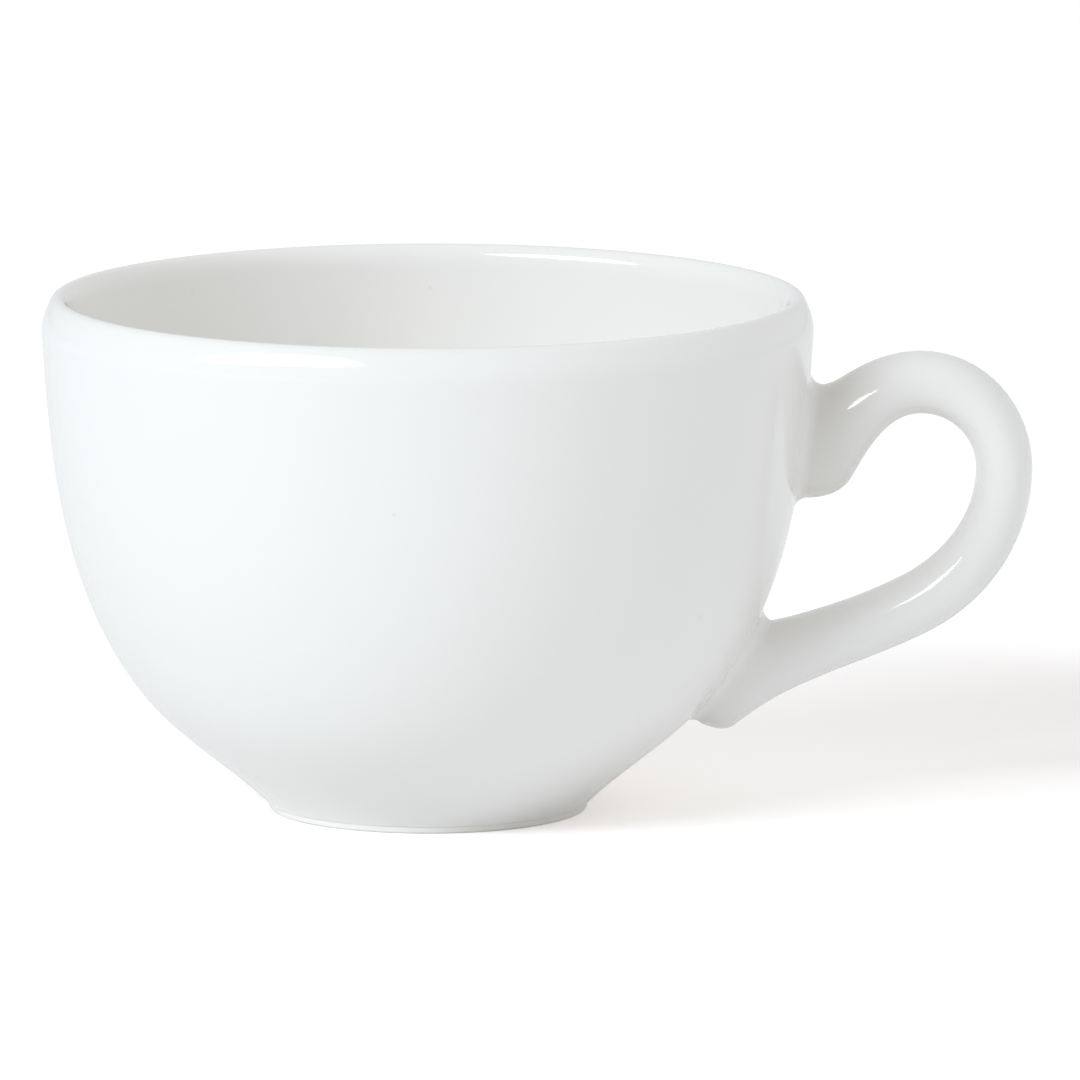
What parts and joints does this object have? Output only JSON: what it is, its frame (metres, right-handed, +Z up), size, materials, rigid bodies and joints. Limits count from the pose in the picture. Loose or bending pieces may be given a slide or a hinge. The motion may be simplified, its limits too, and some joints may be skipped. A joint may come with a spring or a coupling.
{
  "type": "cup",
  "caption": "Low round cup in white glazed ceramic, with a rounded lip, an ear handle stuck on with slip and a bare foot ring to stand on.",
  "frame": {"origin": "on the bowl's axis, in the plane that the foot ring stands on", "axes": "+Z up along the bowl's axis, +X from the axis out through the handle, +Y across the handle"},
  "size_m": [0.1318, 0.1026, 0.069],
  "materials": {
    "glazed_ceramic": "gloss",
    "bare_ceramic": "matte"
  },
  "bodies": {
    "root": {"bowl": "glazed_ceramic", "foot_ring": "bare_ceramic", "handle": "glazed_ceramic", "upper_slip_joint": "glazed_ceramic", "lower_slip_joint": "glazed_ceramic"}
  },
  "joints": []
}
